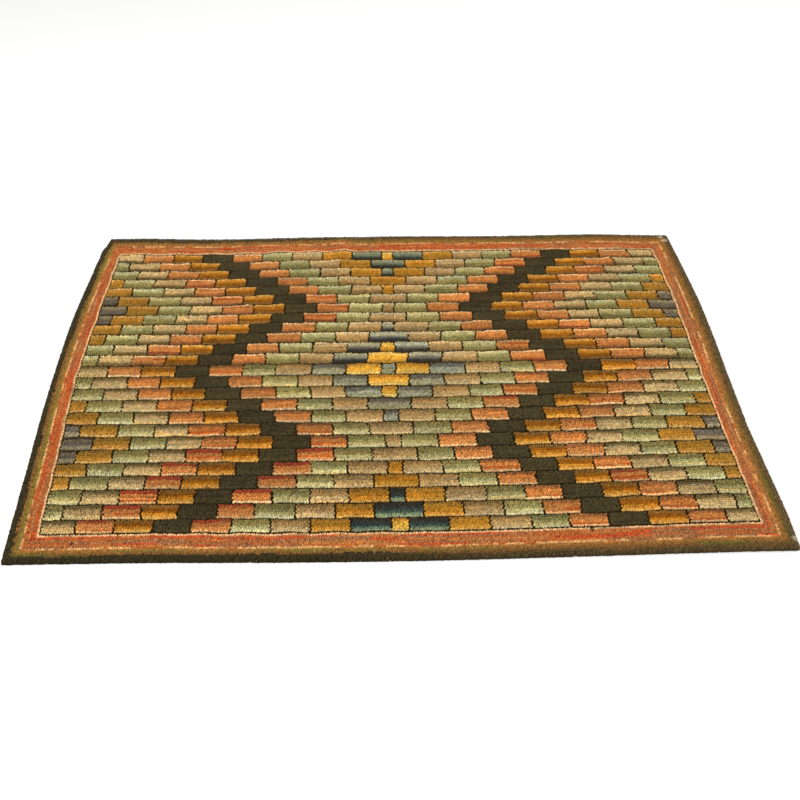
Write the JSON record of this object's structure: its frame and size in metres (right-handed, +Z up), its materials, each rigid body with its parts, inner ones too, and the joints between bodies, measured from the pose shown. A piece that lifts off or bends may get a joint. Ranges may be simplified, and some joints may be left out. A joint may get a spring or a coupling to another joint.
{
  "type": "hooked rug",
  "caption": "Antique hooked wool rug with a stepped brick diamond pattern in earth colours, a striped border and a dark edge, lying flat",
  "frame": {"origin": "centre of the overall box at floor level, under the middle of the rug", "axes": "+X runs along the rug's wider way, +Y away from its near edge, +Z up through its thickness"},
  "size_m": [1.2244, 1.094, 0.0111],
  "materials": {
    "hooked_wool": "matte"
  },
  "bodies": {
    "root": {"rug": "hooked_wool"}
  },
  "joints": []
}
